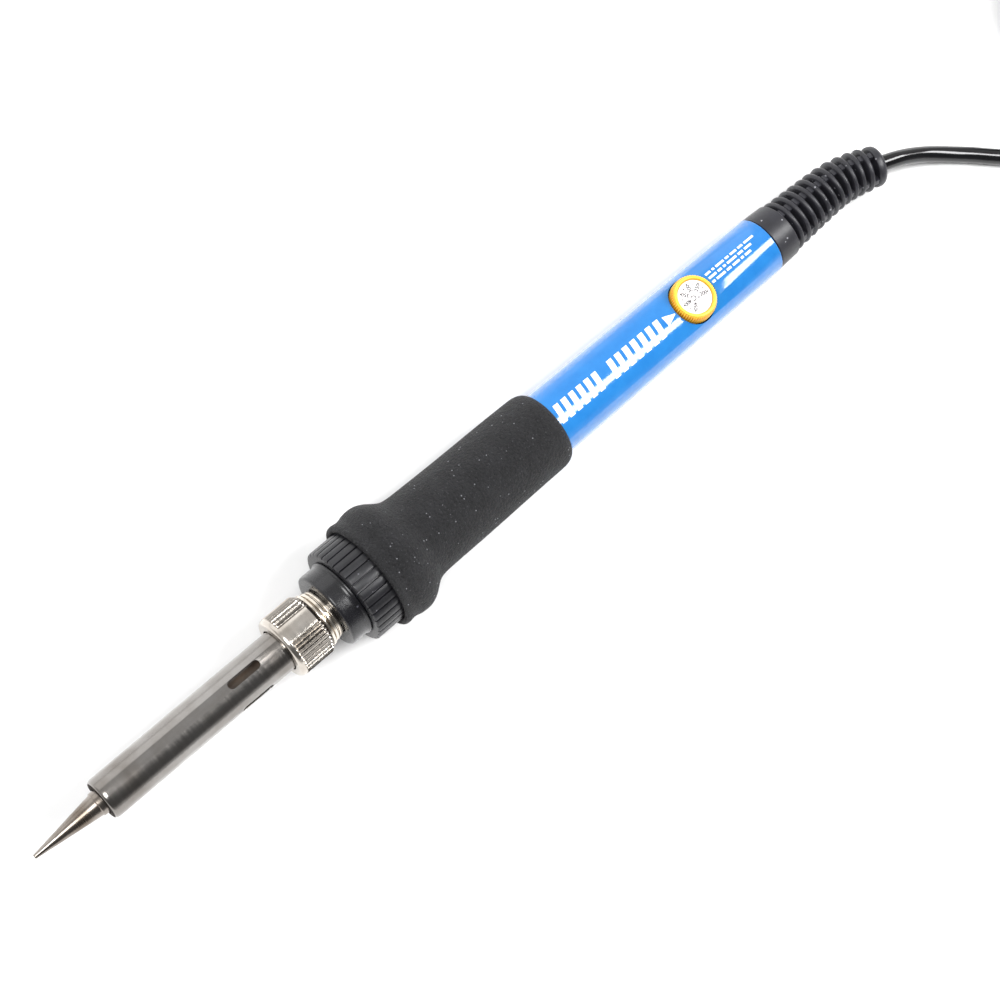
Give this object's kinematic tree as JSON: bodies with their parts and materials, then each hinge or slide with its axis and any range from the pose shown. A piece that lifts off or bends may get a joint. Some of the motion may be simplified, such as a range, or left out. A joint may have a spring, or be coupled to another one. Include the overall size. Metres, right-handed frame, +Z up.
{
  "type": "soldering iron",
  "caption": "Mains soldering iron with a conical tip in a steel barrel, a foam grip, a temperature dial in its tubular handle, and a cord folded in a hank with a plug.",
  "frame": {"origin": "on the bench surface, under the middle of the iron measured without its cord", "axes": "+X from the tip towards the cord, +Z up, with the dial on top; the iron's own axis slopes down towards the cord by 3.13 degrees"},
  "size_m": [0.4771, 0.0443, 0.0279],
  "materials": {
    "tip_plating": "satin iron and chromium plating",
    "barrel_steel": "drawn stainless tube, polished round its length",
    "nickel_plate": "bright nickel over turned brass",
    "heater_ceramic": "matt alumina",
    "heater_lead": "tinned wire",
    "nose_plastic": "glossy black phenolic",
    "collar_plastic": "satin black moulding",
    "grip_rubber": "fine-grained matt foam rubber",
    "handle_plastic": "glossy blue moulding",
    "board_laminate": "phenolic paper laminate",
    "package_black": "moulded epoxy",
    "capacitor_film": "dipped epoxy",
    "resistor_body": "lacquer",
    "diac_glass": "glass bead",
    "knob_plastic": "satin yellow moulding",
    "dial_print": "printed white film",
    "relief_rubber": "satin black rubber",
    "cord_pvc": "smooth black PVC",
    "brown_insulation": "smooth PVC",
    "blue_insulation": "smooth PVC",
    "nylon": "natural nylon",
    "plug_plastic": "fine-textured black PVC",
    "tie_plastic": "plastic-covered wire",
    "pin_metal": "bright nickel over brass"
  },
  "bodies": {
    "handle": {"threaded_ferrule": "nickel_plate", "heater_rod": "heater_ceramic", "heater_bush": "heater_ceramic", "heater_lead_left": "heater_lead", "heater_lead_right": "heater_lead", "nose_cone": "nose_plastic", "ribbed_collar": "collar_plastic", "grip_sleeve": "grip_rubber", "handle_tube": "handle_plastic", "circuit_board": "board_laminate", "triac": "package_black", "film_capacitor": "capacitor_film", "diac": "diac_glass", "resistor_left": "resistor_body", "resistor_right": "resistor_body", "potentiometer_body": "package_black", "strain_relief": "relief_rubber", "inner_cord": "cord_pvc", "live_wire": "brown_insulation", "neutral_wire": "blue_insulation", "cord_clamp": "nylon", "power_cord": "cord_pvc", "cord_hank": "cord_pvc", "cord_tail": "cord_pvc", "hank_tie": "tie_plastic", "plug_body": "plug_plastic", "plug_pin_left": "pin_metal", "plug_pin_right": "pin_metal"},
    "knob": {"temperature_knob": "knob_plastic", "dial_label": "dial_print", "potentiometer_shaft": "nylon"},
    "tip": {"soldering_tip": "tip_plating"},
    "barrel": {"barrel": "barrel_steel"},
    "nut": {"retaining_nut": "nickel_plate"}
  },
  "joints": [
    {"name": "knob_turn", "type": "hinge", "parent": "handle", "child": "knob", "pos_m": [0.06395, 0, 0.0088], "axis": [0.0546, 0, 0.9985], "range_deg": [-60, 210]},
    {"name": "tip_pull", "type": "slide", "parent": "handle", "child": "tip", "axis": [-0.9985, 0, 0.0546], "range_m": [0, 0.06]},
    {"name": "barrel_advance", "type": "slide", "parent": "tip", "child": "barrel", "axis": [-0.9985, 0, 0.0546], "range_m": [0, 0.004]},
    {"name": "nut_turn", "type": "hinge", "parent": "barrel", "child": "nut", "pos_m": [-0.05608, 0, 0.01536], "axis": [-0.9985, 0, 0.0546], "range_deg": [0, 1440]}
  ],
  "couplings": [
    {"joint": "barrel_advance", "follows": "nut_turn", "m_per_rad": 0.000159}
  ]
}
